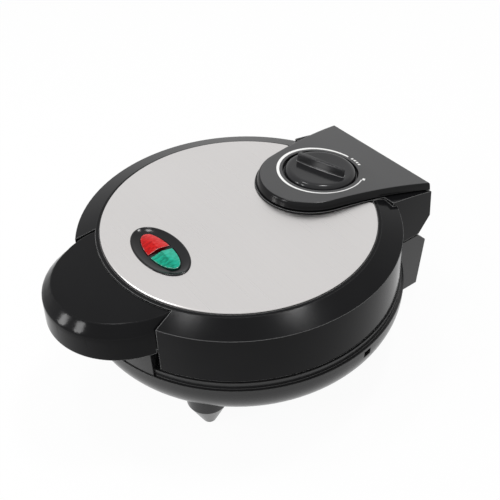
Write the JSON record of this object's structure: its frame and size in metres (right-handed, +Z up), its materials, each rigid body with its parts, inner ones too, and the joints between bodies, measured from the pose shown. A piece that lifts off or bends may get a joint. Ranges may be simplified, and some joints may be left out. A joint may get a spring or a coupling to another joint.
{
  "type": "electric egg roll maker",
  "caption": "Round countertop cooker with a hinged lid, patterned cooking plates, a steel lid panel, signal lamps and a heat dial over the hinge.",
  "frame": {"origin": "on the table, under the middle of the whole outline", "axes": "+Z up from the table; +Y towards the hinge at the rear; -Y towards the handle; +X to the right seen from the handle"},
  "size_m": [0.218, 0.2614, 0.106],
  "materials": {
    "housing_black": "satin black moulding",
    "lid_black": "gloss black moulding",
    "pod_black": "satin black moulding",
    "bezel_black": "gloss black",
    "knob_black": "gloss black",
    "gland_black": "matt black",
    "brushed_panel": "brushed",
    "plate_coating": "dark non-stick coating on cast metal",
    "reflector_sheet": "bright sheet",
    "heater_tube": "dull sheath",
    "zinc_screws": "zinc plated",
    "bright_steel": "bright drawn",
    "ceramic_block": "unglazed cream",
    "rubber_pads": "matt",
    "red_lens": "clear red",
    "green_lens": "clear green",
    "lamp_glass": "clear lamp",
    "fuse_brass": "plated cap"
  },
  "bodies": {
    "base": {"lower_housing": "housing_black", "hinge_base": "housing_black", "hinge_base_screws": "zinc_screws", "front_feet": "housing_black", "guide_lugs": "housing_black", "wiring_cover": "housing_black", "wiring_cover_screws": "zinc_screws", "cord_gland": "gland_black", "terminal_block": "ceramic_block", "foot_pads": "rubber_pads", "lower_heat_reflector": "reflector_sheet", "lower_heating_element": "heater_tube", "lower_cooking_plate": "plate_coating", "lower_plate_screws": "zinc_screws", "hinge_pins": "bright_steel"},
    "lid": {"lid_housing": "lid_black", "handle_grip": "lid_black", "grip_screws": "zinc_screws", "handle_underside": "housing_black", "handle_screws": "zinc_screws", "control_pod": "pod_black", "pod_screws": "zinc_screws", "steel_panel": "brushed_panel", "lamp_bezel": "bezel_black", "red_lens": "red_lens", "green_lens": "green_lens", "indicator_lamps": "lamp_glass", "upper_heat_reflector": "reflector_sheet", "upper_heating_element": "heater_tube", "upper_cooking_plate": "plate_coating", "upper_plate_screws": "zinc_screws", "thermostat_bracket": "zinc_screws", "thermostat_body": "ceramic_block", "thermostat_screws": "zinc_screws", "thermal_fuse": "fuse_brass"},
    "dial": {"dial_knob": "knob_black", "thermostat_shaft": "bright_steel"}
  },
  "joints": [
    {"name": "lid_hinge", "type": "hinge", "parent": "base", "child": "lid", "pos_m": [0, 0.1221, 0.05], "axis": [-1, 0, 0], "range_deg": [0, 100]},
    {"name": "dial_turn", "type": "hinge", "parent": "lid", "child": "dial", "pos_m": [0, 0.0724, 0.09826], "axis": [0, 0.0819, 0.9966], "range_deg": [-286, 15]}
  ]
}
